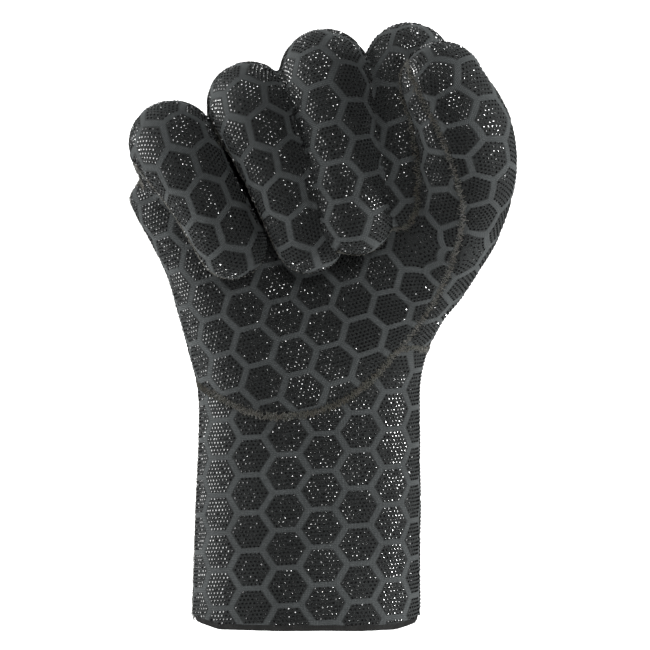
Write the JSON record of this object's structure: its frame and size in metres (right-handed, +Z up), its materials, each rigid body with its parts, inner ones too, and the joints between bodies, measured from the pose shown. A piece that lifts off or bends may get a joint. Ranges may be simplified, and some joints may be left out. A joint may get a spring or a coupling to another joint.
{
  "type": "right-hand diving glove with a long cuff, closed in a fist",
  "caption": "Thick neoprene diving glove for the right hand, closed in a fist, with a honeycomb of raised rubber dots and a long straight cuff.",
  "frame": {"origin": "centre of the cuff's mouth, where the wrist goes in, level with the mouth's lower edge", "axes": "+Z up the arm towards the knuckles, +X towards the thumb, +Y towards the back of the hand, so the palm faces -Y"},
  "size_m": [0.1384, 0.104, 0.2189],
  "materials": {
    "neoprene_fabric": "matte",
    "rubber_dots": "gloss",
    "foam_edge": "matte",
    "seam_thread": "matte"
  },
  "bodies": {
    "root": {"cuff": "neoprene_fabric", "palm_panel": "neoprene_fabric", "back_panel": "neoprene_fabric"}
  },
  "joints": []
}
